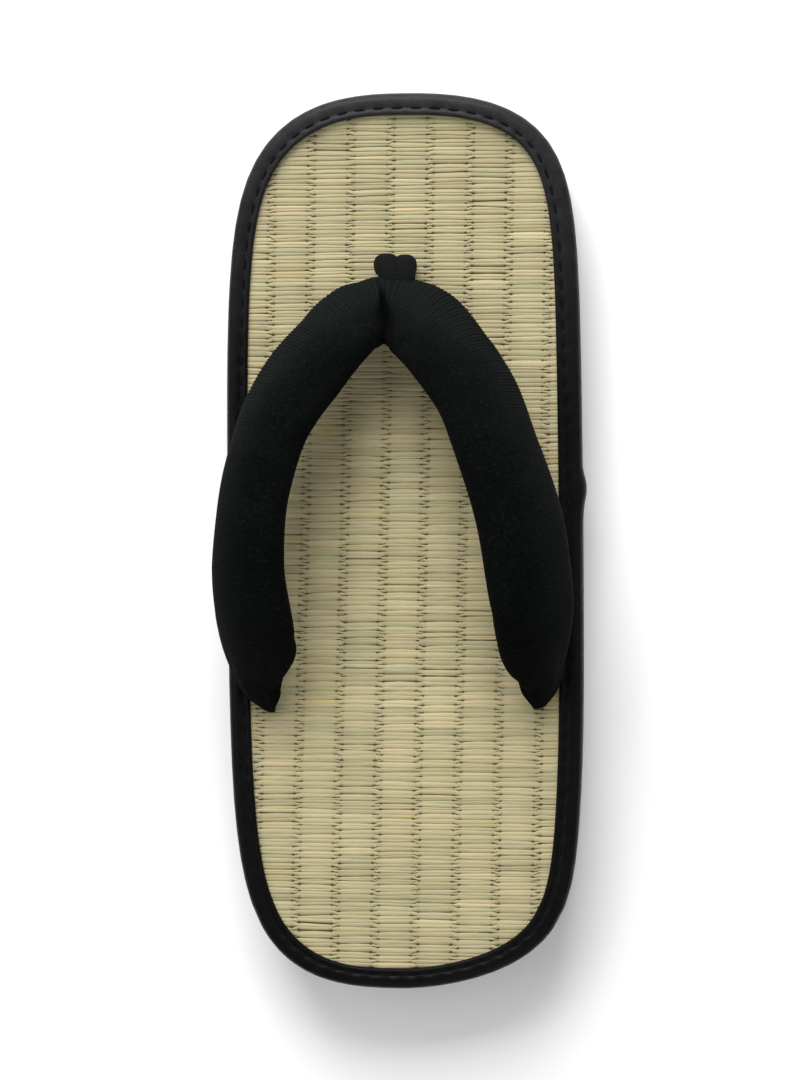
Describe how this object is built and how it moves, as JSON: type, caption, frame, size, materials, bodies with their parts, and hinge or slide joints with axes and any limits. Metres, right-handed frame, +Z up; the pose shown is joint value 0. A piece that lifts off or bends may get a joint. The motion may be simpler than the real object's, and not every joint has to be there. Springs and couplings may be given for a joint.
{
  "type": "zori sandal",
  "caption": "Flat thong sandal with a woven rush footbed, a stitched black edge binding and a padded black V-shaped strap.",
  "frame": {"origin": "on the floor, under the middle of the sole's length and breadth", "axes": "+Y towards the toe, +X towards the medial side of a left foot, +Z up"},
  "size_m": [0.1075, 0.265, 0.0592],
  "materials": {
    "foam": "matte moulded foam rubber",
    "rush": "woven dried rush, slightly glossy",
    "vinyl": "satin vinyl leathercloth",
    "strap_cloth": "matte ribbed cotton over padding",
    "cord_cloth": "matte cotton"
  },
  "bodies": {
    "root": {"sole": "foam", "rush_mat": "rush", "edge_binding": "vinyl", "strap": "strap_cloth", "toe_cord": "cord_cloth"}
  },
  "joints": []
}
